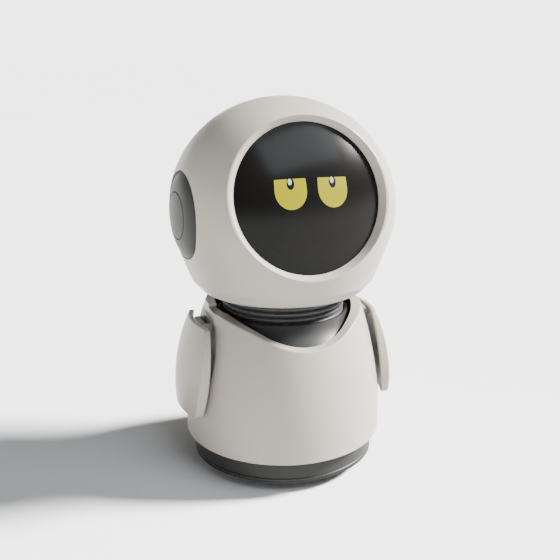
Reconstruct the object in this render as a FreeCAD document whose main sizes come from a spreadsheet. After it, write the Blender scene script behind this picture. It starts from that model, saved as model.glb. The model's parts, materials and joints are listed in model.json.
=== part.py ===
"""Desktop companion robot: a round body on two hidden drive wheels, flipper arms and a turning, nodding head.

Millimetres.  +Z is up, the face looks along -Y and the robot's own left is +X.  The origin is the point
of the floor under the body's axis.
"""
import FreeCAD
import Part
import math
import os
import re
import Sketcher

V = FreeCAD.Vector
os.makedirs("parts", exist_ok=True)
doc = FreeCAD.newDocument("robot")

# ---------------------------------------------------------------- driving dimensions
SIZES = {
    # drive base
    "foot_height": 4.5, "foot_radius": 60, "band_top": 8, "groove_height": 10.2, "base_radius": 64.4, "base_wall": 2.4, "base_top": 33,
    "floor_thick": 2.4, "axle_height": 17, "wheel_radius": 17, "wheel_width": 9, "wheel_offset": 40,
    "tyre_thick": 3, "shaft_radius": 1.5, "running_gap": 0.05, "motor_width": 12, "motor_depth": 10,
    "gearbox_length": 9, "can_length": 15, "ball_radius": 5, "caster_offset": 46, "caster_housing_radius": 8,
    "caster_pin_radius": 1.2,
    # body
    "shell_bottom": 22.5, "shell_radius": 69.4, "shell_wall": 2.4, "shell_knee": 35, "shell_curve": 225,
    "shoulder_height": 117.3, "throat_radius": 47.4, "throat_bottom": 96, "throat_bottom_radius": 55.6,
    "body_seam": 26, "seam_gap": 0.15, "scoop_height": 97.4, "scoop_rise": 9.9, "scoop_tilt": 10,
    "scoop_front": 60.6, "step_height": 114.5, "pocket_centre": 103.8, "pocket_height": 88.7,
    "pocket_depth": 47.5, "pocket_length": 150, "pocket_rise": 90, "pocket_lean": 13,
    "mid_plate_height": 37, "plate_thick": 2.4, "deck_height": 92, "deck_radius": 54,
    "board_height": 63, "board_thick": 1.6, "board_radius": 46,
    # neck
    "collar_top": 111.3, "collar_bore": 43.3, "collar_foot_radius": 53.6, "turntable_height": 96.6,
    "turntable_radius": 40, "pan_shaft_radius": 5, "bellows_radius": 42.3, "bellows_bore": 39,
    "bellows_bottom": 99.2, "bellows_top": 127.6, "tilt_height": 125, "tilt_pin_radius": 2.5, "yoke_spread": 17,
    # head
    "head_height": 181.1, "head_radius": 77, "crown_radius": 80.1, "cheek_radius": 73.5, "head_crown": 74.5,
    "head_wall": 2.6, "head_bottom": 55.8, "head_mouth": 44, "head_seam": 32, "face_pitch": 15.8,
    "face_plane": 55.5, "lens_seat": 51.5, "lens_radius": 47.9, "lens_curve": 132, "lens_thick": 2,
    "ear_radius": 28.8, "ear_rim": 70.2, "ear_crown": 76.6, "ear_button_radius": 15.4, "ear_turn": 5.5,
    # arms
    "arm_top": 107.5, "arm_bottom": 46, "arm_belly": 76, "arm_outer": 76.6, "arm_inner": 71.2,
    "shoulder_pin_offset": 59.5, "shoulder_pin_height": 103, "shoulder_pin_radius": 1.5,
}
sheet = doc.addObject("Spreadsheet::Sheet", "sizes")
for row, (alias, number) in enumerate(SIZES.items(), start=1):
    sheet.set(f"A{row}", alias)
    sheet.set(f"B{row}", str(number))
    sheet.setAlias(f"B{row}", alias)
doc.recompute()

WORD = re.compile(r"[a-z]+(?:_[a-z]+)*")
nodes = []


def linked(text):
    """The expression with every name of a driving dimension pointing at its cell."""
    return WORD.sub(lambda m: f"sizes.{m.group()}" if m.group() in SIZES else m.group(), text)


def number(value):
    """The present value of a number or an expression."""
    if isinstance(value, str):
        result = sheet.evalExpression(linked(value))
        return float(getattr(result, "Value", result))
    return float(value)


def bind(thing, path, value):
    """Set a property to a number, or tie it to the sheet when the value is an expression."""
    if isinstance(value, str):
        thing.setExpression(path, linked(value))
    else:
        thing.setExpression(path, str(value))


def place(thing, at=(0, 0, 0), axis=(0, 0, 1), angle=0):
    """Put a thing at a point, turned about an axis; the point may hold expressions."""
    thing.Placement = FreeCAD.Placement(V(0, 0, 0), FreeCAD.Rotation(V(*axis), number(angle)))
    for letter, value in zip("xyz", at):
        bind(thing, f"Placement.Base.{letter}", value)
    return thing


def keep(thing, label):
    """Register a finished piece under the name of its file."""
    thing.Label = label
    nodes.append(thing)
    return thing


# ---------------------------------------------------------------- primitives and booleans
ALONG = {"x": ((0, 1, 0), 90), "y": ((1, 0, 0), -90), "z": ((0, 0, 1), 0)}


def box(size, centre):
    """A block of the given size about its centre in X and Y, standing on the given Z."""
    thing = doc.addObject("Part::Box", "block")
    for prop, value in zip(("Length", "Width", "Height"), size):
        bind(thing, prop, value)
    corner = (f"({centre[0]}) - ({size[0]}) / 2", f"({centre[1]}) - ({size[1]}) / 2", centre[2])
    return place(thing, corner)


def rod(radius, length, start, along="z"):
    """A cylinder that starts at a point and runs along a row axis."""
    thing = doc.addObject("Part::Cylinder", "rod")
    bind(thing, "Radius", radius)
    bind(thing, "Height", length)
    axis, angle = ALONG[along]
    return place(thing, start, axis, angle)


def ball(radius, centre):
    thing = doc.addObject("Part::Sphere", "ball")
    bind(thing, "Radius", radius)
    return place(thing, centre)


def cut(base, *tools):
    for tool in tools:
        result = doc.addObject("Part::Cut", "cut")
        result.Base = base
        result.Tool = tool
        base = result
    return base


def fuse(*pieces):
    result = doc.addObject("Part::MultiFuse", "fuse")
    result.Shapes = list(pieces)
    return result


def common(*pieces):
    result = doc.addObject("Part::MultiCommon", "common")
    result.Shapes = list(pieces)
    return result


def rounded(base, radius, wanted):
    """Round the edges of a shape that the test picks out."""
    doc.recompute()
    picks = [(n, radius, radius) for n, edge in enumerate(base.Shape.Edges, 1) if wanted(edge)]
    result = doc.addObject("Part::Fillet", "rounding")
    result.Base = base
    result.Edges = picks
    doc.recompute()
    return result


# ---------------------------------------------------------------- sketched bodies
def sketch_on(body, plane):
    sketch = body.newObject("Sketcher::SketchObject", "outline")
    origin_plane = [f for f in body.Origin.OriginFeatures if f.Role == plane][0]
    sketch.AttachmentSupport = [(origin_plane, "")]
    sketch.MapMode = "FlatFace"
    return sketch


def arc_through(start, middle, end):
    """An anticlockwise arc through three points, and whether it had to be turned round to be one."""
    centre = Part.Arc(start, middle, end).toShape().Curve.Center
    radius = start.distanceToPoint(centre)
    angles = [math.atan2(p.y - centre.y, p.x - centre.x) for p in (start, middle, end)]
    backwards = (angles[1] - angles[0]) % (2 * math.pi) > (angles[2] - angles[0]) % (2 * math.pi)
    low, high = (angles[2], angles[0]) if backwards else (angles[0], angles[2])
    circle = Part.Circle(centre, V(0, 0, 1), radius)
    return Part.ArcOfCircle(circle, low, high), backwards


def outline(sketch, points):
    """A closed outline.  A point is (x, y), or (x, y, middle) when an arc runs from it through the middle.

    An arc that reaches the axis is centred on it, so that it turns into a true sphere.
    """
    flat = [V(number(point[0]), number(point[1]), 0) for point in points]
    starts, ends = [], []
    for i, point in enumerate(points):
        start, end = flat[i], flat[(i + 1) % len(points)]
        backwards = False
        if len(point) == 3:
            middle = V(number(point[2][0]), number(point[2][1]), 0)
            edge, backwards = arc_through(start, middle, end)
        else:
            edge = Part.LineSegment(start, end)
        sketch.addGeometry(edge)
        starts.append(2 if backwards else 1)
        ends.append(1 if backwards else 2)
    for i, point in enumerate(points):
        after = (i + 1) % len(points)
        sketch.addConstraint(Sketcher.Constraint("Coincident", i, ends[i], after, starts[after]))
        for kind, value in (("DistanceX", point[0]), ("DistanceY", point[1])):
            at = sketch.addConstraint(Sketcher.Constraint(kind, -1, 1, i, starts[i], number(value)))
            if isinstance(value, str):
                sketch.setExpression(f"Constraints[{at}]", linked(value))
        if len(point) == 3 and min(flat[i].x, flat[after].x) == 0:
            sketch.addConstraint(Sketcher.Constraint("PointOnObject", i, 3, -2))
        elif len(point) == 3:
            sketch.addConstraint(Sketcher.Constraint("Radius", i, sketch.Geometry[i].Radius))


def turned(points, at=(0, 0, 0), axis=(0, 0, 1), angle=0, sweep=360):
    """A body turned about its own Z from a half outline of (radius, height) points, even about its XZ plane."""
    body = doc.addObject("PartDesign::Body", "turned")
    sketch = sketch_on(body, "XZ_Plane")
    outline(sketch, points)
    revolution = body.newObject("PartDesign::Revolution", "revolution")
    revolution.Profile = sketch
    revolution.ReferenceAxis = (sketch, ["V_Axis"])
    revolution.Angle = sweep
    revolution.Midplane = sweep < 360
    return place(body, at, axis, angle)


def padded(points, length, plane="XY_Plane", at=(0, 0, 0), midplane=False):
    """A body padded from a closed outline on one of its origin planes."""
    body = doc.addObject("PartDesign::Body", "padded")
    sketch = sketch_on(body, plane)
    outline(sketch, points)
    pad = body.newObject("PartDesign::Pad", "pad")
    pad.Profile = sketch
    pad.Midplane = midplane
    bind(pad, "Length", length)
    return place(body, at)


def disc(radius, thick, height, bore=None):
    """A round plate on the body's axis, with an optional bore."""
    inner = 0 if bore is None else bore
    points = [(inner, 0), (radius, 0), (radius, thick), (inner, thick)]
    return turned(points, (0, 0, height))


SIDES = (("left", 1), ("right", -1))

def pocket(side, grow):
    """The shallow dish in the body's side behind an arm."""
    thing = doc.addObject("Part::Ellipsoid", "pocket")
    bind(thing, "Radius2", f"pocket_depth + {grow}")
    bind(thing, "Radius3", f"pocket_length + {grow}")
    bind(thing, "Radius1", f"pocket_rise + {grow}")
    return place(thing, (f"{side} * pocket_centre", 0, "pocket_height"), (0, 1, 0), f"-{side} * pocket_lean")


def pockets(grow):
    return [pocket(side, grow) for _, side in SIDES]


# ---------------------------------------------------------------- drive base
def wheel_wells(thick, bottom):
    """Slots for the two wheels through a floor."""
    return [box(("wheel_width + 3", "2 * wheel_radius + 4", thick), (f"{side} * wheel_offset", 0, bottom))
            for _, side in SIDES]


def caster_holes(thick, bottom):
    return [rod("caster_housing_radius + 0.15", thick, (0, f"{end} * caster_offset", bottom)) for end in (-1, 1)]


def screw_ring(radius, count, hole, length, bottom, first=45):
    """Cylinders spaced round the axis, for screws, posts and their holes."""
    ring = []
    for i in range(count):
        turn = math.radians(first + 360 * i / count)
        ring.append(rod(hole, length, (f"{radius} * {math.cos(turn):.5f}", f"{radius} * {math.sin(turn):.5f}",
                                       bottom)))
    return ring


tray = turned([
    (0, "band_top"), ("base_radius - 0.2", "band_top"), ("base_radius", "band_top + 0.2"),
    ("base_radius", "groove_height - 0.5"), ("base_radius - 0.5", "groove_height"),
    ("base_radius", "groove_height + 0.5"), ("base_radius", "base_top"), ("base_radius - base_wall", "base_top"),
    ("base_radius - base_wall", "band_top + floor_thick"), (0, "band_top + floor_thick"),
])
tray = cut(tray, *wheel_wells(8, 6), *caster_holes(8, 6))
keep(cut(tray, *screw_ring("52", 4, 1.6, 8, 6)), "base_tray")

cover = turned([
    (0, "foot_height"), ("foot_radius", "foot_height"), ("foot_radius + 1", "foot_height + 0.6"),
    ("base_radius", "band_top - 0.8"), ("base_radius", "band_top - 0.1"), (0, "band_top - 0.1"),
])
cover = cut(cover, *wheel_wells(8, 2), *caster_holes(8, 2))
keep(cut(cover, *screw_ring("52", 4, 1.6, 8, 2), *screw_ring("52", 4, 3.2, 1.95, "foot_height - 0.1")), "bottom_cover")


def screw(head_radius, shank_radius, length, head_height=1.6):
    """A screw pointing up its own Z, with a cross recess in its head."""
    head = rod(head_radius, head_height, (0, 0, 0))
    shank = rod(shank_radius, length, (0, 0, head_height))
    slots = [box((head_radius * 1.1, 0.5, 0.6), (0, 0, 0)), box((0.5, head_radius * 1.1, 0.6), (0, 0, 0))]
    return cut(fuse(head, shank), *slots)


def screw_group(label, places, **sizes):
    """Identical screws at several placements, kept as one node of separate solids."""
    master = screw(**sizes)
    doc.recompute()
    solids = []
    for point, axis, angle in places:
        copy = master.Shape.copy()
        copy.Placement = FreeCAD.Placement(V(*point), FreeCAD.Rotation(V(*axis), angle))
        solids.append(copy)
    group = doc.addObject("Part::Feature", "screws")
    group.Shape = Part.makeCompound(solids)
    return keep(group, label)


def ring_places(radius, count, height, first=45):
    points = []
    for i in range(count):
        turn = math.radians(first + 360 * i / count)
        points.append(((radius * math.cos(turn), radius * math.sin(turn), height), (0, 0, 1), 0))
    return points


screw_group("bottom_cover_screws", ring_places(52, 4, 4.7), head_radius=3.0, shank_radius=1.5, length=9)

for name, side in SIDES:
    inboard = "wheel_offset - wheel_width / 2 - 2 - gearbox_length - can_length"
    motor_end = "wheel_offset - wheel_width / 2 - 2"
    gearbox = box(("gearbox_length", "motor_width", "motor_depth"),
                  (f"{side} * ({motor_end} - gearbox_length / 2)", 0, "axle_height - motor_depth / 2"))
    can = common(rod("motor_width / 2", "can_length", (f"{side} * ({inboard}) + {min(side, 0)} * can_length", 0,
                                                       "axle_height"), "x"),
                 box((80, "motor_width", "motor_depth"), (0, 0, "axle_height - motor_depth / 2")))
    bore = rod("shaft_radius + running_gap", "gearbox_length",
               (f"{side} * ({motor_end}) - {max(side, 0)} * gearbox_length", 0, "axle_height"), "x")
    keep(cut(fuse(gearbox, can), bore), f"{name}_drive_motor")

    clamp_length = 7
    clamp = box((clamp_length, "motor_width + 5", "motor_depth + 4.3"),
                (f"{side} * ({motor_end} - gearbox_length / 2)", 0, "band_top + floor_thick"))
    feet = box((clamp_length, "motor_width + 21", 2), (f"{side} * ({motor_end} - gearbox_length / 2)", 0,
                                                       "band_top + floor_thick"))
    slot = box((clamp_length + 2, "motor_width + 0.1", "motor_depth + 0.1"),
               (f"{side} * ({motor_end} - gearbox_length / 2)", 0, "axle_height - motor_depth / 2 - 0.05"))
    holes = [rod(1.2, 4, (f"{side} * ({motor_end} - gearbox_length / 2)", f"{end} * 12.5", "band_top"))
             for end in (-1, 1)]
    keep(cut(fuse(clamp, feet), slot, *holes), f"{name}_motor_bracket")

    shaft_length = "gearbox_length + wheel_width"
    shaft_start = f"{side} * ({motor_end} - gearbox_length + 0.5) + {min(side, 0)} * ({shaft_length})"
    keep(rod("shaft_radius", shaft_length, (shaft_start, 0, "axle_height"), "x"), f"{name}_axle")

    turn = 90 * side
    hub_radius = "wheel_radius - tyre_thick"
    hub = turned([
        ("shaft_radius", "-wheel_width / 2"), (4, "-wheel_width / 2"), (4, "-1"), (f"{hub_radius} - 2", "-1"),
        (f"{hub_radius} - 2", "-wheel_width / 2"), (hub_radius, "-wheel_width / 2"), (hub_radius, "wheel_width / 2"),
        (f"{hub_radius} - 2", "wheel_width / 2"), (f"{hub_radius} - 2", 1), (4, 1), (4, "wheel_width / 2"),
        ("shaft_radius", "wheel_width / 2"),
    ], (f"{side} * wheel_offset", 0, "axle_height"), (0, 1, 0), turn)
    keep(hub, f"{name}_wheel_hub")
    tyre = turned([
        (hub_radius, "-wheel_width / 2"), ("wheel_radius - 1", "-wheel_width / 2"),
        ("wheel_radius", "1 - wheel_width / 2"), ("wheel_radius", "wheel_width / 2 - 1"),
        ("wheel_radius - 1", "wheel_width / 2"), (hub_radius, "wheel_width / 2"),
    ], (f"{side} * wheel_offset", 0, "axle_height"), (0, 1, 0), turn)
    keep(tyre, f"{name}_tyre")

for name, end in (("front", -1), ("rear", 1)):
    spot = f"{end} * caster_offset"
    housing = fuse(rod("caster_housing_radius", 9.4, (0, spot, 3)),
                   rod("caster_housing_radius + 3", 1.6, (0, spot, "band_top + floor_thick")))
    keep(cut(housing, ball("ball_radius + 0.06", (0, spot, "ball_radius")),
             rod("caster_pin_radius + running_gap", 12.4, (-6.2, spot, "ball_radius"), "x")),
         f"{name}_caster_housing")
    keep(fuse(ball("ball_radius", (0, spot, "ball_radius")),
              rod("caster_pin_radius", 12, (-6, spot, "ball_radius"), "x")), f"{name}_caster_ball")

# ---------------------------------------------------------------- chassis inside the body
plate = disc("deck_radius + 4", "plate_thick", "mid_plate_height")
keep(cut(plate, *screw_ring("50", 4, 2.05, 6, "mid_plate_height - 1", 30)), "mid_plate")
keep(fuse(*screw_ring("50", 4, 3.5, "mid_plate_height - band_top - floor_thick", "band_top + floor_thick", 30),
          *screw_ring("50", 4, 2, "deck_height - mid_plate_height + band_top", "mid_plate_height - band_top", 30),
          *screw_ring("50", 4, 3.5, "deck_height - mid_plate_height - plate_thick",
                      "mid_plate_height + plate_thick", 30)), "chassis_posts")
deck = disc("deck_radius", "plate_thick", "deck_height", "pan_shaft_radius + running_gap")
deck_lug = box((12, 8, 9), (0, 48, "deck_height - 9"))
keep(cut(fuse(deck, deck_lug), rod(1.3, 10, (0, 43, 87), "y"), *pockets(2.7)), "neck_deck")

battery = box((62, 38, 19), (0, 0, "mid_plate_height + plate_thick"))
keep(rounded(battery, 3, lambda e: e.BoundBox.ZLength > 18), "battery_pack")

board = disc("board_radius - 3", "board_thick", "board_height")
chips = [box((14, 14, 1.5), (0, -6, "board_height + board_thick")),
         box((9, 9, 1.2), (18, 12, "board_height + board_thick")),
         box((12, 6, 3), (-18, 14, "board_height + board_thick")),
         box((6, 10, 5), (-22, -12, "board_height + board_thick"))]
keep(fuse(cut(board, *screw_ring("38", 4, 1.3, 6, "board_height - 2")), *chips), "main_board")
keep(fuse(*screw_ring("38", 4, 2.6, "board_height - mid_plate_height - plate_thick",
                      "mid_plate_height + plate_thick"),
          *screw_ring("38", 4, 1.2, 6, "board_height - 3")), "board_standoffs")

servo_body = box((23, 12.4, 22), (-5, 0, "deck_height - 25"))
servo_flange = box((32, 12.4, 2.4), (-5, 0, "deck_height - 9"))
servo_boss = rod(6.2, 3, (0, 0, "deck_height - 3"))
servo_bore = rod("pan_shaft_radius + running_gap", 14, (0, 0, "deck_height - 14"))
keep(cut(fuse(servo_body, servo_flange, servo_boss), servo_bore), "pan_servo")

# ---------------------------------------------------------------- body shells
curve_centre = "(shell_radius - shell_curve)"


def shell_radius_at(height, inset):
    """Expression for the radius of the body's side, a line that becomes one large arc above the knee."""
    return f"({curve_centre} + sqrt((shell_curve - {inset})^2 - ({height} - shell_knee)^2))"


def side_arc(low, high, inset):
    """The middle point of the side arc between two heights."""
    middle = f"(({low}) + ({high})) / 2"
    return (shell_radius_at(middle, inset), middle)


outer = turned([
    (0, "shell_bottom"), ("shell_radius - 0.8", "shell_bottom"), ("shell_radius", "shell_bottom + 0.8"),
    ("shell_radius", "shell_knee", side_arc("shell_knee", "shoulder_height", "0")),
    (shell_radius_at("shoulder_height", "0"), "shoulder_height"), (0, "shoulder_height"),
])
hollow = turned([
    (0, "shell_bottom - 1"), ("shell_radius - shell_wall", "shell_bottom - 1"),
    ("shell_radius - shell_wall", "shell_knee", side_arc("shell_knee", "throat_bottom", "shell_wall")),
    (shell_radius_at("throat_bottom", "shell_wall"), "throat_bottom"), ("throat_bottom_radius", "throat_bottom"),
    ("throat_radius", "shoulder_height - 0.8"), ("throat_radius + 0.8", "shoulder_height"),
    ("throat_radius + 0.8", "shoulder_height + 1"), (0, "shoulder_height + 1"),
])


def scoop_outline():
    """Section of the front opening: a round trough whose banks curve over to a level edge on each side."""
    bank = [(28.1, "scoop_height + 5.46"), (39.26, "scoop_height + 8.78"), (50.9, "scoop_height + scoop_rise")]
    mirrored = [(-x, z) for x, z in bank]
    return [(*mirrored[0], (0, "scoop_height")), (*bank[0], bank[1]), bank[2], (100, "scoop_height + scoop_rise"),
            (100, "scoop_height + 100"), (-100, "scoop_height + 100"), (-100, "scoop_height + scoop_rise"),
            (*mirrored[2], mirrored[1])]


trough = padded(scoop_outline(), 200, "XZ_Plane", (0, "-scoop_front", 0), midplane=True)
trough.Placement.Rotation = FreeCAD.Rotation(V(1, 0, 0), number("scoop_tilt"))
bind(trough, "Placement.Base.z", "scoop_height * (1 - cos(scoop_tilt * 1 deg))")
bind(trough, "Placement.Base.y", "scoop_height * sin(scoop_tilt * 1 deg) - scoop_front")
scoop = fuse(trough, box((200, 100, 100), (0, -50, "step_height")))
front_half = box((200, 100, 100), (0, -50, 60))
skin = cut(outer, common(scoop, front_half))


def on_scoop_rim(edge):
    """Whether an edge runs along the outside of the trough."""
    outside = all(math.hypot(v.X, v.Y) > 53 for v in edge.Vertexes)
    return outside and edge.BoundBox.ZMin > 97 and edge.Length > 30 and edge.BoundBox.YMin < -1


skin = rounded(skin, 1, on_scoop_rim)
wall = cut(cut(skin, *pockets(0)), cut(hollow, *pockets(2.4)))
front_side = box((200, 200, 200), (0, "body_seam - 100", 0))
rear_side = box((200, 200, 200), (0, "body_seam + seam_gap + 100", 0))
def bosses(points, radius, start, length, trim, ribs=()):
    """Screw bosses along Y at (x, z) points with ribs to the wall, trimmed to the inside of a solid."""
    rods = [rod(radius, length, (x, start, z), "y") for x, z in points]
    pieces = rods + list(ribs)
    return common(pieces[0] if len(pieces) == 1 else fuse(*pieces), trim)


def shoulder_bracket(side):
    """Two lugs on a seat that carry the pin of an arm."""
    pin_x = f"{side} * shoulder_pin_offset"
    pieces = [box((1.4, 24, 12), (f"{side} * 53.2", 0, "shoulder_pin_height - 6"))]
    for end in (-1, 1):
        pieces.append(box((7, 3.4, 6), (f"{side} * (shoulder_pin_offset - 3.5)", end * 8.2,
                                        "shoulder_pin_height - 3")))
        pieces.append(rod(3, 3.4, (pin_x, end * 8.2 - 1.7, "shoulder_pin_height"), "y"))
    return fuse(*pieces)


port_slot = box((9.4, 20, 3.6), (0, 66, 41.2))
button_hole = rod(4.1, 20, (20, 55, 43), "y")
grille = [box((26, 20, 1.4), (0, 66, 52 + 3 * i)) for i in range(5)]
side_screws = [(-57, 46), (57, 46)]
top_screw = [(0, 87)]
side_ribs = [box((10, 11, 3), (x * 61 / 57, 20, z - 1.5)) for x, z in side_screws]
front_body = fuse(common(wall, front_side), bosses(side_screws, 4, 12, "body_seam - 12", outer, side_ribs))
front_body = cut(front_body, *[rod(1.3, 12, (x, 15, z), "y") for x, z in side_screws])
keep(cut(front_body, *[shoulder_bracket(side) for _, side in SIDES]), "body_front_shell")
rear_body = fuse(common(wall, rear_side), bosses(side_screws, 4.4, "body_seam + seam_gap", 30, outer),
                 bosses(top_screw, 4.4, 52.2, 20, outer))
rear_body = cut(rear_body, port_slot, button_hole, *grille,
                *[rod(3, 40, (x, 30, z), "y") for x, z in side_screws],
                *[rod(1.7, 20, (x, 20, z), "y") for x, z in side_screws],
                *[rod(3, 20, (x, 55.5, z), "y") for x, z in top_screw],
                *[rod(1.7, 10, (x, 50, z), "y") for x, z in top_screw])
keep(rear_body, "body_rear_cover")
screw_group("rear_cover_screws", [((-57, 31.4, 46), (1, 0, 0), 90), ((57, 31.4, 46), (1, 0, 0), 90),
                                  ((0, 56.9, 87), (1, 0, 0), 90)],
            head_radius=2.6, shank_radius=1.25, length=9, head_height=1.4)

charge_port = cut(box((9, 7.5, 3.2), (0, 64.6, 41.4)), box((7.4, 7, 1.8), (0, 66, 42.1)))
keep(fuse(charge_port, box((5.6, 6, 0.7), (0, 64, 42.65)), box((16, 10, 1.6), (0, 58, 39.8))), "charge_port")
keep(fuse(rod(4, 7, (20, 60, 43), "y"), rod(5.2, 1.4, (20, 58.6, 43), "y")), "power_button")
speaker = fuse(rod(14, 5, (0, 50, 58), "y"), rod(16, 1.6, (0, 55, 58), "y"))
keep(cut(speaker, ball(20, (0, 73.5, 58))), "speaker")

collar = turned([
    ("collar_bore", "throat_bottom - 1.4"), ("collar_foot_radius + 0.6", "throat_bottom - 1.4"),
    ("collar_foot_radius + 0.3", "scoop_height + 0.6", (49.4, 103.6)), (46.4, "collar_top - 1.4"),
    (46, "collar_top - 0.3", (45, "collar_top")), (44, "collar_top - 0.3"), ("collar_bore", "collar_top - 1.4"),
])
keep(cut(collar, *pockets(2.7)), "collar")

# ---------------------------------------------------------------- arms
def arm_profile():
    """Section of the curved arm plate: a bowed outer face and an inner face that follows the body."""
    return [("arm_inner - 8.9", "arm_top"), ("arm_outer - 10.6", "arm_top", ("arm_outer - 1", "arm_belly")),
            ("arm_outer", "arm_bottom"), ("arm_inner", "arm_bottom", ("arm_inner - 2.2", "arm_belly"))]


def arm_outline():
    """The arm seen from the side, in Y and Z: a blunt top and bottom joined by full, rounded sides."""
    return [(-24, "arm_top"), (24, "arm_top", (33.3, "arm_belly - 1")), (28.5, "arm_bottom"),
            (-28.5, "arm_bottom", (-33.3, "arm_belly - 1"))]


for name, side in SIDES:
    pin_x = f"{side} * shoulder_pin_offset"
    pin_hole = rod("shoulder_pin_radius", 40, (pin_x, -20, "shoulder_pin_height"), "y")
    keep(cut(shoulder_bracket(side), pin_hole), f"{name}_shoulder_bracket")
    keep(rod("shoulder_pin_radius", 20.4, (pin_x, -10.2, "shoulder_pin_height"), "y"), f"{name}_shoulder_pin")

    blade = padded(arm_outline(), 60, "YZ_Plane", (30, 0, 0))
    blade = rounded(blade, 6, lambda e: e.BoundBox.XLength > 59)
    plate = common(turned(arm_profile(), sweep=120), blade)
    plate = rounded(plate, 1.2, lambda e: True)
    plate.Placement = FreeCAD.Placement(V(0, 0, 0), FreeCAD.Rotation(V(0, 0, 1), 90 - 90 * side))
    knuckle = fuse(rod(3.2, 12, (pin_x, -6, "shoulder_pin_height"), "y"),
                   box((4.6, 12, 6), (f"{side} * (shoulder_pin_offset + 2.9)", 0, "shoulder_pin_height - 3")))
    bore = rod("shoulder_pin_radius + running_gap", 40, (pin_x, -20, "shoulder_pin_height"), "y")
    keep(cut(fuse(plate, knuckle), bore), f"{name}_arm")

# ---------------------------------------------------------------- neck
keep(disc("turntable_radius", 2.4, "turntable_height"), "neck_turntable")
keep(rod("pan_shaft_radius", 16.6, (0, 0, "turntable_height - 16.6")), "pan_shaft")
yoke = []
for _, side in SIDES:
    yoke += [box((3, 12, "tilt_height - turntable_height - 2.4"), (f"{side} * yoke_spread", 0, "turntable_height + 2.4")),
             rod(6, 3, (f"{side} * yoke_spread - 1.5", 0, "tilt_height"), "x")]
foot = box(("2 * yoke_spread + 3", 16, 2.4), (0, 0, "turntable_height + 2.4"))
keep(cut(fuse(foot, *yoke), rod("tilt_pin_radius", 60, (-30, 0, "tilt_height"), "x")), "neck_yoke")
keep(rod("tilt_pin_radius", "2 * yoke_spread + 6", ("-yoke_spread - 3", 0, "tilt_height"), "x"), "tilt_pin")
bellows = turned([("bellows_bore", "bellows_bottom"), ("bellows_radius", "bellows_bottom"),
                  ("bellows_radius", "bellows_top"), ("bellows_bore", "bellows_top")])
keep(bellows, "bellows")

# ---------------------------------------------------------------- head shells
centre = (0, 0, "head_height")


def head_outline(inset):
    """Half outline of the head about its centre: flattened crown, full cheeks, tapering jaw."""
    crown = f"(crown_radius - {inset})"
    cheek = f"(cheek_radius - {inset})"
    crown_centre = "(head_crown - crown_radius)"
    cheek_centre = "(head_radius - cheek_radius)"
    lean = math.atan2(number("head_radius - cheek_radius"), number("crown_radius - head_crown"))
    half = lean / 2
    low = (math.pi / 2 - lean) / 2
    jaw = number("52") - inset
    slope = math.radians(20.3)
    jaw_centre = number("head_radius") - 52
    jaw_end = (jaw_centre + jaw * math.cos(slope), -jaw * math.sin(slope))
    drop = 29 - inset * 0.3
    chin = (jaw_end[0] - drop * math.tan(slope) + 0.2, jaw_end[1] - drop)
    floor = inset - number("head_bottom")
    foot = 52.5 - inset * 0.8
    return [
        (0, floor), (foot, floor, (foot + 4.2, floor + 1.7)), (foot + 6.6, floor + 4.4),
        (chin[0], chin[1], ((chin[0] + jaw_end[0]) / 2 + 0.35, (chin[1] + jaw_end[1]) / 2)),
        (jaw_end[0], jaw_end[1], (jaw_centre + jaw * math.cos(slope / 2), -jaw * math.sin(slope / 2))),
        (f"head_radius - {inset}", 0,
         (f"{cheek_centre} + {cheek} * {math.cos(low):.6f}", f"{cheek} * {math.sin(low):.6f}")),
        (f"{cheek_centre} + {cheek} * {math.sin(lean):.6f}", f"{cheek} * {math.cos(lean):.6f}",
         (f"{crown} * {math.sin(half):.6f}", f"{crown_centre} + {crown} * {math.cos(half):.6f}")),
        (0, f"head_crown - {inset}"),
    ]


FACE_TURN = "90 - face_pitch"


def face_cone(low_radius, low, high_radius, high):
    """A round opening through the face that may widen outwards."""
    return turned([(0, low), (low_radius, low), (high_radius, high), (0, high)], centre, (1, 0, 0), FACE_TURN)


def beyond_face(distance):
    """Everything in front of a plane across the face."""
    return face_cone(100, distance, 100, f"{distance} + 60")


def head_lump(inset):
    return turned(head_outline(inset), centre)


def beside_head(points, side):
    """A piece turned about the axis of an ear, its heights measured from the head's own axis."""
    turn = math.radians(number("ear_turn"))
    return turned(points, centre, (math.sin(turn), side * math.cos(turn), 0), 90)


lump = cut(head_lump(0), beyond_face("face_plane"))
face_normal = V(0, -math.cos(math.radians(number("face_pitch"))), math.sin(math.radians(number("face_pitch"))))


def on_face_plane(edge):
    """Whether an edge lies in the flat that is cut across the front of the head."""
    middle = V(0, 0, number("head_height"))
    return all(abs((v.Point - middle).dot(face_normal) - number("face_plane")) < 1e-3 for v in edge.Vertexes)


lump = rounded(lump, 1.3, on_face_plane)
lump_outer = lump
cavity = cut(head_lump(number("head_wall")), beyond_face("lens_seat - lens_thick - 2"))
ear_hole = [(0, 55), ("ear_radius + 0.15", 55), ("ear_radius + 0.15", 95), (0, 95)]
lump = cut(lump, cavity, face_cone("lens_radius + 0.1", "lens_seat - lens_thick", "lens_radius + 0.1", "lens_seat"),
           face_cone("lens_radius + 0.1", "lens_seat", "lens_radius + 5.65", "lens_seat + 6"),
           face_cone("lens_radius - 1.4", "lens_seat - 12", "lens_radius - 1.4", "lens_seat - 1"),
           rod("head_mouth", 20, (0, 0, "head_height - head_bottom - 8")),
           *[beside_head(ear_hole, side) for _, side in SIDES])
head_screws = []
for degrees in (90, 214, 326):
    head_screws.append((61 * math.cos(math.radians(degrees)),
                        number("head_height") + 60 * math.sin(math.radians(degrees))))
front_head = common(lump, box((200, 200, 200), (0, "head_seam - 100", 80)))
head_ribs = [box((3, 9, 14), (0, 27, "head_height + 60"))]
head_ribs += [box((12, 9, 3), (x * 58 / 51, 27, z - 1.5)) for x, z in head_screws[1:]]
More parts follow.
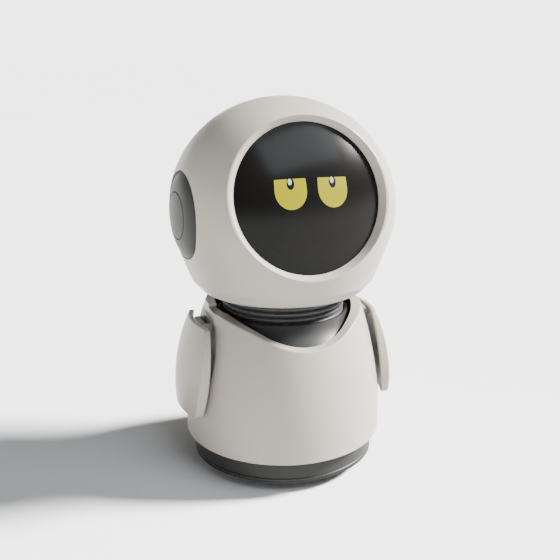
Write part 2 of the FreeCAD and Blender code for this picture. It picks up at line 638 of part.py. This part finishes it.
front_head = fuse(front_head, bosses(head_screws, 4, 22, "head_seam - 22", lump_outer, head_ribs))
keep(cut(front_head, *[rod(1.3, 12, (x, 23, z), "y") for x, z in head_screws]), "head_shell")
cover = common(lump, box((200, 200, 200), (0, "head_seam + seam_gap + 100", 80)))
cover = fuse(cover, bosses(head_screws, 4.4, "head_seam + seam_gap", 20, lump_outer))
keep(cut(cover, *[rod(3, 30, (x, 36, z), "y") for x, z in head_screws],
         *[rod(1.7, 10, (x, 30, z), "y") for x, z in head_screws]), "head_rear_cover")
screw_group("head_cover_screws", [((x, 37.4, z), (1, 0, 0), 90) for x, z in head_screws],
            head_radius=2.6, shank_radius=1.25, length=9, head_height=1.4)

face_lens = turned([
    (0, "lens_seat + lens_curve - sqrt(lens_curve^2 - lens_radius^2) - lens_thick",
     (24, "lens_seat + sqrt((lens_curve - 2)^2 - 24^2) - sqrt(lens_curve^2 - lens_radius^2)")),
    ("lens_radius - 1.4", "lens_seat + sqrt((lens_curve - 2)^2 - (lens_radius - 1.4)^2) "
     "- sqrt(lens_curve^2 - lens_radius^2)"),
    ("lens_radius", "lens_seat - lens_thick + 0.1"),
    ("lens_radius", "lens_seat", (24, "lens_seat + sqrt(lens_curve^2 - 24^2) - sqrt(lens_curve^2 - lens_radius^2)")),
    (0, "lens_seat + lens_curve - sqrt(lens_curve^2 - lens_radius^2)"),
], centre, (1, 0, 0), FACE_TURN)
keep(face_lens, "face_lens")
keep(turned([(0, 43.6), ("lens_radius - 2", 43.6), ("lens_radius - 2", 47), (0, 47)], centre, (1, 0, 0), FACE_TURN),
     "display_panel")
keep(turned([(0, 38), (36, 38), (36, 39.6), (0, 39.6)], centre, (1, 0, 0), FACE_TURN), "display_board")

# ---------------------------------------------------------------- ears
for name, side in SIDES:
    ear = beside_head([
        ("ear_button_radius + 0.15", "ear_rim - 3"), ("ear_radius - 0.6", "ear_rim - 3"),
        ("ear_radius - 0.1", "ear_rim - 2.2"), ("ear_radius - 0.1", "ear_rim - 0.5"),
        ("ear_radius - 0.6", "ear_rim", (22.6, "ear_rim + 3")),
        ("ear_button_radius + 0.4", "ear_crown - 1.45"), ("ear_button_radius + 0.15", "ear_crown - 1.8"),
    ], side)
    keep(ear, f"{name}_ear_cap")
    button = beside_head([
        (0, "ear_rim - 5.4"), ("ear_button_radius + 1.6", "ear_rim - 5.4"), ("ear_button_radius + 1.6", "ear_rim - 4.4"),
        ("ear_button_radius", "ear_rim - 4.4"), ("ear_button_radius", "ear_crown - 1.9"),
        ("ear_button_radius - 0.5", "ear_crown - 1.3", (8, "ear_crown - 0.35")), (0, "ear_crown"),
    ], side)
    keep(button, f"{name}_ear_button")

# ---------------------------------------------------------------- head frame and tilt drive
frame = disc(48, 2.4, 136)
frame = cut(frame, box((20.4, 12.8, 8), (0, 4, 134)))
hangers = []
for _, side in SIDES:
    hangers += [box((2.6, 12, 14), (f"{side} * (yoke_spread - 3.4)", 0, "tilt_height")),
                rod(6, 2.6, (f"{side} * (yoke_spread - 3.4) - 1.3", 0, "tilt_height"), "x")]
floor_height = "head_height - head_bottom + head_wall"
legs = [rod(2.6, f"136.1 - ({floor_height})", (x, y, floor_height)) for x in (-38, 38) for y in (-28, 26)]
frame = fuse(frame, *hangers, *legs)
keep(cut(frame, rod("tilt_pin_radius + running_gap", 60, (-30, 0, "tilt_height"), "x")), "head_frame")
tilt_servo = fuse(box((20, 12.4, 22), (0, 4, "tilt_height - 3")), box((20, 20, 2.4), (0, 4, 138.5)))
keep(cut(tilt_servo, rod("tilt_pin_radius + running_gap", 60, (-30, 0, "tilt_height"), "x")), "tilt_servo")

# ---------------------------------------------------------------- check and write
doc.recompute()
for thing in doc.Objects:
    if "Invalid" in thing.State or "Error" in thing.State:
        raise RuntimeError(f"{thing.Name} ({thing.Label}) failed: {thing.State}")
for thing in nodes:
    if thing.Shape.isNull() or not thing.Shape.isValid() or not thing.Shape.Solids:
        raise RuntimeError(f"{thing.Label} has no valid solid")
    thing.Shape.exportStep(f"parts/{thing.Label}.step")
    print(thing.Label, round(thing.Shape.Volume), len(thing.Shape.Solids))
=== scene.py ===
import json
import math

import bpy
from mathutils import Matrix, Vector


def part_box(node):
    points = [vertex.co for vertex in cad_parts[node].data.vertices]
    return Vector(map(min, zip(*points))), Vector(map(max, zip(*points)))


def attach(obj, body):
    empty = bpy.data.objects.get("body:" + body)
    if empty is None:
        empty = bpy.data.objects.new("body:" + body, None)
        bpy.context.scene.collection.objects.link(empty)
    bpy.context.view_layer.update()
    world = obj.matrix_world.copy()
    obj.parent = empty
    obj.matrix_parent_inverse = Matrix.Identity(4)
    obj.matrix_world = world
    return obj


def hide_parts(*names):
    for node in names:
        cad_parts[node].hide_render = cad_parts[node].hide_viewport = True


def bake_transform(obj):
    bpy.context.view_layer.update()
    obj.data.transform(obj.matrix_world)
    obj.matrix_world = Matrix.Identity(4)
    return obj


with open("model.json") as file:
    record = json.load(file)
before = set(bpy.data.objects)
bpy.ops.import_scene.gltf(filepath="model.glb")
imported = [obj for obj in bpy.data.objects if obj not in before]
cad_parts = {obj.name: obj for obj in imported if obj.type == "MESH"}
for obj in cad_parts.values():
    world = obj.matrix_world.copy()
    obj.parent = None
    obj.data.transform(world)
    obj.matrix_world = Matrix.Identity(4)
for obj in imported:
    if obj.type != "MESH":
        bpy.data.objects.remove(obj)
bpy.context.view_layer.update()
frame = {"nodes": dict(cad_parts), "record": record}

MM = 0.001

# ---------------------------------------------------------------- where things are, from the frame
lens_low, lens_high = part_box("face_lens")
bellows_low, bellows_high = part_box("bellows")
ear_low, ear_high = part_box("left_ear_cap")
HEAD_CENTRE = Vector((0, 0, (ear_low.z + ear_high.z) / 2))
FACE_PITCH = math.radians(15.8)
FACE_UP = Vector((0, math.sin(FACE_PITCH), math.cos(FACE_PITCH)))
FACE_OUT = Vector((0, -math.cos(FACE_PITCH), math.sin(FACE_PITCH)))
LENS_RADIUS = (lens_high.x - lens_low.x) / 2
LENS_SEAT = 51.5 * MM
LENS_CURVE = 132 * MM
LENS_THICK = 2 * MM


# ---------------------------------------------------------------- camera
def add_camera():
    """A 50 mm view from a little above and to the robot's right."""
    target = Vector((0, 0, 0.1294))
    offset = Vector((-0.1702, -0.4977, 0.1463))
    data = bpy.data.cameras.new("camera")
    data.lens = 50
    data.sensor_width = 36
    data.shift_x = -0.0042
    camera = bpy.data.objects.new("camera", data)
    camera.location = target + offset
    camera.rotation_euler = (target - camera.location).to_track_quat("-Z", "Y").to_euler()
    bpy.context.scene.collection.objects.link(camera)
    bpy.context.scene.camera = camera


# ---------------------------------------------------------------- node materials
class Recipe:
    """A material under construction: a principled shader and short names for the nodes that feed it."""

    def __init__(self, name, **constants):
        self.material = bpy.data.materials.new(name)
        self.material.use_nodes = True
        self.tree = self.material.node_tree
        self.shader = self.tree.nodes["Principled BSDF"]
        self.place = self.tree.nodes.new("ShaderNodeTexCoord").outputs["Object"]
        for socket, value in constants.items():
            self.shader.inputs[socket.replace("_", " ")].default_value = value

    def link(self, source, target):
        self.tree.links.new(source, target)

    def noise(self, scale, detail=3, roughness=0.5, stretch=None):
        node = self.tree.nodes.new("ShaderNodeTexNoise")
        node.inputs["Scale"].default_value = scale
        node.inputs["Detail"].default_value = detail
        node.inputs["Roughness"].default_value = roughness
        source = self.place
        if stretch:
            mapping = self.tree.nodes.new("ShaderNodeMapping")
            mapping.inputs["Scale"].default_value = stretch
            self.link(self.place, mapping.inputs["Vector"])
            source = mapping.outputs["Vector"]
        self.link(source, node.inputs["Vector"])
        return node.outputs["Fac"]

    def ramp(self, source, stops):
        """A colour ramp through (position, colour) stops."""
        node = self.tree.nodes.new("ShaderNodeValToRGB")
        elements = node.color_ramp.elements
        while len(elements) < len(stops):
            elements.new(0.5)
        for element, (position, colour) in zip(elements, stops):
            element.position = position
            element.color = (*colour, 1)
        self.link(source, node.inputs["Fac"])
        return node.outputs["Color"]

    def span(self, source, low, high):
        node = self.tree.nodes.new("ShaderNodeMapRange")
        node.inputs["To Min"].default_value = low
        node.inputs["To Max"].default_value = high
        self.link(source, node.inputs["Value"])
        return node.outputs["Result"]

    def bump(self, source, strength, distance):
        node = self.tree.nodes.new("ShaderNodeBump")
        node.inputs["Strength"].default_value = strength
        node.inputs["Distance"].default_value = distance
        self.link(source, node.inputs["Height"])
        existing = self.shader.inputs["Normal"].links
        if existing:
            self.link(existing[0].from_socket, node.inputs["Normal"])
        self.link(node.outputs["Normal"], self.shader.inputs["Normal"])

    def feed(self, socket, source):
        self.link(source, self.shader.inputs[socket])


def shade(colour, factor):
    return tuple(min(1, part * factor) for part in colour)


def moulded_plastic(name, colour, roughness, **constants):
    """Moulded plastic: a spark-eroded fine grain, slow drift in colour and faintly uneven gloss."""
    recipe = Recipe(name, **constants)
    slow = recipe.noise(14, 2)
    drift = 0.03
    drifting = recipe.ramp(slow, [(0.3, shade(colour, 1 - drift)), (0.7, shade(colour, 1 + drift))])
    recipe.feed("Base Color", drifting)
    recipe.feed("Roughness", recipe.span(recipe.noise(60, 4, 0.6), roughness - 0.05, roughness + 0.06))
    recipe.bump(recipe.noise(2600, 2, 0.6), 0.25, 0.00003)
    recipe.bump(recipe.noise(22, 1), 0.06, 0.0006)
    return recipe.material


def rubber(name, colour):
    """Soft rubber: matt, dusty in patches, with a fine skin."""
    recipe = Recipe(name, Specular_IOR_Level=0.35)
    dust = recipe.noise(90, 5, 0.7)
    recipe.feed("Base Color", recipe.ramp(dust, [(0.35, colour), (0.75, shade(colour, 1.7))]))
    recipe.feed("Roughness", recipe.span(recipe.noise(220, 3), 0.42, 0.6))
    recipe.bump(recipe.noise(1800, 3), 0.25, 0.00004)
    return recipe.material


def metal(name, colour, roughness, brush):
    """Turned or drawn metal with fine marks along one direction."""
    recipe = Recipe(name, Metallic=1.0)
    marks = recipe.noise(900, 4, 0.6, stretch=brush)
    recipe.feed("Base Color", recipe.ramp(marks, [(0.3, shade(colour, 0.9)), (0.7, shade(colour, 1.08))]))
    recipe.feed("Roughness", recipe.span(marks, roughness - 0.08, roughness + 0.1))
    recipe.bump(marks, 0.15, 0.00002)
    return recipe.material


def circuit_board(name):
    """Green solder mask over faint copper runs."""
    recipe = Recipe(name, Roughness=0.35, Coat_Weight=0.3)
    brick = recipe.tree.nodes.new("ShaderNodeTexBrick")
    brick.inputs["Scale"].default_value = 160
    brick.inputs["Color1"].default_value = (0.010, 0.075, 0.035, 1)
    brick.inputs["Color2"].default_value = (0.014, 0.090, 0.042, 1)
    brick.inputs["Mortar"].default_value = (0.030, 0.160, 0.070, 1)
    brick.inputs["Mortar Size"].default_value = 0.03
    recipe.link(recipe.place, brick.inputs["Vector"])
    recipe.feed("Base Color", brick.outputs["Color"])
    return recipe.material


def smoked_glass(name):
    """Black smoked cover: near black, softly polished, with barely visible ripples in the gloss."""
    recipe = Recipe(name, Specular_IOR_Level=0.11)
    tone = recipe.noise(9, 2)
    darker, lighter = (0.0030, 0.0028, 0.0026), (0.0050, 0.0047, 0.0043)
    recipe.feed("Base Color", recipe.ramp(tone, [(0.3, darker), (0.7, lighter)]))
    recipe.feed("Roughness", recipe.span(recipe.noise(30, 3), 0.16, 0.21))
    recipe.bump(recipe.noise(16, 1), 0.02, 0.0004)
    return recipe.material


def display_colour(name, colour, glow):
    """A lit patch of the display seen through the glossy cover."""
    recipe = Recipe(name, Specular_IOR_Level=0.1, Roughness=0.4, Emission_Strength=glow)
    dots = recipe.noise(2400, 1)
    toned = recipe.ramp(dots, [(0.2, shade(colour, 0.96)), (0.8, shade(colour, 1.03))])
    recipe.feed("Base Color", recipe.ramp(dots, [(0.2, shade(colour, 0.05)), (0.8, shade(colour, 0.06))]))
    recipe.feed("Emission Color", toned)
    return recipe.material


# ---------------------------------------------------------------- mesh helpers
def new_mesh(name, points, faces, material, smooth=True):
    mesh = bpy.data.meshes.new(name)
    mesh.from_pydata(points, [], faces)
    mesh.validate()
    mesh.materials.append(material)
    for polygon in mesh.polygons:
        polygon.use_smooth = smooth
    piece = bpy.data.objects.new(name, mesh)
    bpy.context.scene.collection.objects.link(piece)
    return piece


def spun(name, outline, material, segments=160):
    """A closed ring spun about Z from a closed outline of (radius, height) points."""
    count = len(outline)
    points = []
    for step in range(segments):
        turn = 2 * math.pi * step / segments
        points += [(r * math.cos(turn), r * math.sin(turn), z) for r, z in outline]
    faces = []
    for step in range(segments):
        here, ahead = step * count, (step + 1) % segments * count
        for i in range(count):
            j = (i + 1) % count
            faces.append((here + i, ahead + i, ahead + j, here + j))
    return new_mesh(name, points, faces, material)


def on_lens(x, y, lift):
    """The point above (x, y) of the face, lifted off the domed cover."""
    rise = math.sqrt(LENS_CURVE ** 2 - x * x - y * y) - math.sqrt(LENS_CURVE ** 2 - LENS_RADIUS ** 2)
    return HEAD_CENTRE + FACE_OUT * (LENS_SEAT + rise + lift) + FACE_UP * y + Vector((x, 0, 0))


# ---------------------------------------------------------------- the smoked face cover
def make_lens(material):
    """A thin dome with a polished, slightly rounded rim."""
    rings, segments = 48, 192
    round_over = 0.5 * MM
    rim_angle = math.asin((LENS_RADIUS - round_over) / LENS_CURVE)
    sink = math.sqrt(LENS_CURVE ** 2 - LENS_RADIUS ** 2)
    outline = [(0.0, LENS_CURVE - sink)]
    for i in range(1, rings + 1):
        angle = rim_angle * i / rings
        outline.append((LENS_CURVE * math.sin(angle), LENS_CURVE * math.cos(angle) - sink))
    for i in range(1, 6):
        angle = math.radians(70 * (1 - i / 5))
        outline.append((LENS_RADIUS - round_over + round_over * math.cos(angle),
                        outline[rings][1] - round_over + round_over * math.sin(angle)))
    outline.append((LENS_RADIUS, -LENS_THICK * 0.9))
    inner = LENS_CURVE - LENS_THICK
    for i in range(rings, -1, -4):
        angle = math.asin((LENS_RADIUS - 1.4 * MM) / inner) * i / rings
        outline.append((inner * math.sin(angle), inner * math.cos(angle) - sink))
    points = [HEAD_CENTRE + FACE_OUT * (LENS_SEAT + outline[0][1])]
    faces = []
    loops = len(outline) - 2
    for r, out in outline[1:-1]:
        for step in range(segments):
            turn = 2 * math.pi * step / segments
            across = Vector((r * math.cos(turn), 0, 0)) + FACE_UP * (r * math.sin(turn))
            points.append(HEAD_CENTRE + across + FACE_OUT * (LENS_SEAT + out))
    points.append(HEAD_CENTRE + FACE_OUT * (LENS_SEAT + outline[-1][1]))
    for step in range(segments):
        after = (step + 1) % segments
        faces.append((0, 1 + step, 1 + after))
        for loop in range(loops - 1):
            a, b = 1 + loop * segments, 1 + (loop + 1) * segments
            faces.append((a + step, b + step, b + after, a + after))
        last = 1 + (loops - 1) * segments
        faces.append((last + after, last + step, len(points) - 1))
    lens = new_mesh("smoked_lens", points, faces, material)
    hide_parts("face_lens")
    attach(lens, "head")


# ---------------------------------------------------------------- the eyes on the display
EYE_X, EYE_TOP, EYE_WIDEST, EYE_BOTTOM = 13.7 * MM, 11.5 * MM, 4.0 * MM, -7.3 * MM
EYE_HALF = 10.0 * MM


def eye_half_width(y, inset):
    """Half width of the half-lidded eye at a height: nearly straight above, a half ellipse below."""
    half = EYE_HALF - inset
    if y > EYE_WIDEST:
        return half - 0.35 * MM * ((y - EYE_WIDEST) / (EYE_TOP - EYE_WIDEST)) ** 2
    depth = EYE_WIDEST - EYE_BOTTOM - inset
    return half * math.sqrt(max(0, 1 - ((EYE_WIDEST - y) / depth) ** 2))


def rows_patch(name, centre_x, low, high, half_width, lift, material):
    """A thin patch on the cover, filled by rows from its lowest to its highest point."""
    rows, columns = 40, 24
    top, under = [], []
    for row in range(rows + 1):
        y = low + (high - low) * (1 - math.cos(math.pi * row / rows)) / 2
        half = max(half_width(y), 0.02 * MM)
        for column in range(columns + 1):
            x = centre_x + half * (2 * column / columns - 1)
            top.append(on_lens(x, y, lift))
            under.append(on_lens(x, y, 0.01 * MM))
    faces = []
    wide = columns + 1
    shift = len(top)
    for row in range(rows):
        for column in range(columns):
            a = row * wide + column
            faces.append((a, a + 1, a + wide + 1, a + wide))
            faces.append((shift + a, shift + a + wide, shift + a + wide + 1, shift + a + 1))
    border = list(range(columns))
    border += [r * wide + columns for r in range(rows)]
    border += [rows * wide + c for c in range(columns, 0, -1)]
    border += [r * wide for r in range(rows, 0, -1)]
    for here, after in zip(border, border[1:] + border[:1]):
        faces.append((after, here, shift + here, shift + after))
    patch = new_mesh(name, top + under, faces, material, smooth=False)
    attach(patch, "head")
    return patch


def oval(centre_y, half, tall):
    return lambda y: half * math.sqrt(max(0, 1 - ((y - centre_y) / tall) ** 2))


def make_eyes():
    rim = display_colour("eye_rim_light", (0.66, 0.72, 0.03), 1.0)
    yellow = display_colour("eye_yellow", (0.70, 0.62, 0.0), 1.0)
    black = display_colour("eye_black", (0.006, 0.005, 0.012), 0.0)
    white = display_colour("eye_white", (0.85, 0.85, 0.85), 1.2)
    for name, side in (("left", 1), ("right", -1)):
        middle = side * EYE_X
        rows_patch(f"{name}_eye_rim", middle, EYE_BOTTOM, EYE_TOP,
                   lambda y: eye_half_width(y, 0), 0.05 * MM, rim)
        inset = 0.6 * MM
        rows_patch(f"{name}_eye", middle, EYE_BOTTOM + inset, EYE_TOP - 0.35 * MM,
                   lambda y: eye_half_width(y, inset), 0.08 * MM, yellow)
        rows_patch(f"{name}_pupil_halo", middle, 4.3 * MM, EYE_TOP - 0.2 * MM,
                   oval(8.5 * MM, 2.8 * MM, 4.2 * MM), 0.1 * MM, rim)
        rows_patch(f"{name}_pupil", middle, 4.8 * MM, EYE_TOP + 0.15 * MM,
                   oval(8.6 * MM, 2.4 * MM, 3.8 * MM), 0.13 * MM, black)
        rows_patch(f"{name}_highlight", middle - 0.3 * MM, 7.7 * MM, 11.7 * MM,
                   oval(9.7 * MM, 1.25 * MM, 2.0 * MM), 0.16 * MM, white)


# ---------------------------------------------------------------- the rubber bellows
def make_bellows(material):
    """A ribbed sleeve: rounded ribs and tight grooves, with a plain cuff at each end."""
    low, high = bellows_low.z, bellows_high.z
    crest = bellows_high.x + 0.6 * MM
    valley = bellows_high.x - 2.2 * MM
    ribs = 7
    cuff = 1.2 * MM
    pitch = (high - low - 2 * cuff) / ribs
    outer = [(crest - 0.6 * MM, low), (crest - 0.6 * MM, low + cuff * 0.8)]
    for rib in range(ribs):
        for part in range(10):
            phase = part / 10
            swell = math.sqrt(abs(math.sin(math.pi * phase)))
            outer.append((valley + (crest - valley) * swell, low + cuff + (rib + phase) * pitch))
    outer += [(valley, high - cuff), (crest - 0.8 * MM, high - cuff * 0.7), (crest - 0.8 * MM, high)]
    inner = [(valley - 1.1 * MM, high), (valley - 1.1 * MM, low)]
    bellows = spun("ribbed_bellows", outer + inner, material)
    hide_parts("bellows")
    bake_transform(bellows)


# ---------------------------------------------------------------- floor and light
def make_stage():
    """A pale floor that runs level to the horizon, where it meets a sky of the same brightness."""
    rings, segments = (0.0, 0.4, 1.2, 4.0, 15.0, 60.0, 250.0), 64
    points, faces = [(0, 0, 0)], []
    for ring in rings[1:]:
        for step in range(segments):
            turn = 2 * math.pi * step / segments
            points.append((ring * math.cos(turn), ring * math.sin(turn), 0))
    for step in range(segments):
        after = (step + 1) % segments
        faces.append((0, 1 + step, 1 + after))
        for ring in range(len(rings) - 2):
            inner, outer = 1 + ring * segments, 1 + (ring + 1) * segments
            faces.append((inner + step, outer + step, outer + after, inner + after))
    recipe = Recipe("pale_floor", Specular_IOR_Level=0.1, Roughness=0.8)
    mottle = recipe.noise(2, 2)
    recipe.feed("Base Color", recipe.ramp(mottle, [(0.3, (0.59, 0.59, 0.59)), (0.7, (0.61, 0.61, 0.61))]))
    new_mesh("floor", points, faces, recipe.material)


def add_area(name, place, target, size, power, colour):
    data = bpy.data.lights.new(name, "AREA")
    data.shape = "RECTANGLE"
    data.size, data.size_y = size
    data.energy = power
    data.color = colour
    light = bpy.data.objects.new(name, data)
    light.location = place
    light.rotation_euler = (Vector(target) - Vector(place)).to_track_quat("-Z", "Y").to_euler()
    bpy.context.scene.collection.objects.link(light)


TO_THE_RIGHT = Vector((0.946, -0.323, 0))
TO_THE_BACK = Vector((0.3236, 0.9462, 0))
HORIZON_GLOW, UPPER_SKY = 4.0, 0.10


def light_world():
    """A sky that is bright at the horizon and falls to dim a little way above it."""
    world = bpy.data.worlds.new("studio")
    bpy.context.scene.world = world
    world.use_nodes = True
    nodes, links = world.node_tree.nodes, world.node_tree.links
    background = nodes["Background"]
    where = nodes.new("ShaderNodeTexCoord")
    parts = nodes.new("ShaderNodeSeparateXYZ")
    glow = nodes.new("ShaderNodeMapRange")
    glow.interpolation_type = "SMOOTHSTEP"
    for socket, value in (("From Min", 0.10), ("From Max", 0.28), ("To Min", HORIZON_GLOW), ("To Max", UPPER_SKY)):
        glow.inputs[socket].default_value = value
    links.new(where.outputs["Generated"], parts.inputs[0])
    links.new(parts.outputs["Z"], glow.inputs["Value"])
    links.new(glow.outputs["Result"], background.inputs["Strength"])
    background.inputs["Color"].default_value = (1.0, 1.0, 1.0, 1)


def light_scene():
    """A strong key from behind the right shoulder, and a cool softbox above the face."""
    light_world()
    sun = bpy.data.lights.new("key", "SUN")
    sun.energy = 34.0
    sun.angle = math.radians(12)
    sun.color = (1.0, 0.985, 0.965)
    key = bpy.data.objects.new("key", sun)
    direction = TO_THE_RIGHT * 0.80 + TO_THE_BACK * 0.14 + Vector((0, 0, 0.62))
    key.rotation_euler = direction.to_track_quat("Z", "Y").to_euler()
    bpy.context.scene.collection.objects.link(key)
    add_area("softbox", (0.5, -1.15, 1.65), (0, 0, 0.19), (1.6, 0.8), 30, (0.82, 0.92, 1.0))


# ---------------------------------------------------------------- finishes for the carried-over nodes
def finish_nodes():
    shell = moulded_plastic("shell_plastic", (0.235, 0.214, 0.184), 0.40, Specular_IOR_Level=0.35)
    dark = moulded_plastic("dark_plastic", (0.0150, 0.0150, 0.0138), 0.45, Specular_IOR_Level=0.14)
    gloss = moulded_plastic("collar_plastic", (0.0125, 0.0122, 0.0118), 0.38, Specular_IOR_Level=0.16)
    inner = moulded_plastic("inner_plastic", (0.25, 0.26, 0.28), 0.5)
    black = moulded_plastic("black_plastic", (0.02, 0.02, 0.022), 0.45)
    tyre = rubber("tyre_rubber", (0.018, 0.018, 0.019))
    steel = metal("steel", (0.58, 0.57, 0.55), 0.3, brush=(1, 1, 6))
    can = metal("motor_metal", (0.62, 0.58, 0.48), 0.35, brush=(8, 1, 1))
    board = circuit_board("solder_mask")
    by_slot = {"shell": shell, "dark_plastic": dark, "collar_gloss": gloss, "inner_plastic": inner,
               "servo_plastic": black, "rubber": tyre, "steel": steel, "motor_metal": can, "board": board,
               "lens": black}
    for part in frame["record"]["subparts"]:
        mesh = frame["nodes"][part["node"]].data
        material = by_slot[part["material_slot"]]
        mesh.materials.clear()
        mesh.materials.append(material)


add_camera()
finish_nodes()
make_bellows(rubber("bellows_rubber", (0.016, 0.016, 0.017)))
make_lens(smoked_glass("smoked_glass"))
make_eyes()
make_stage()
light_scene()
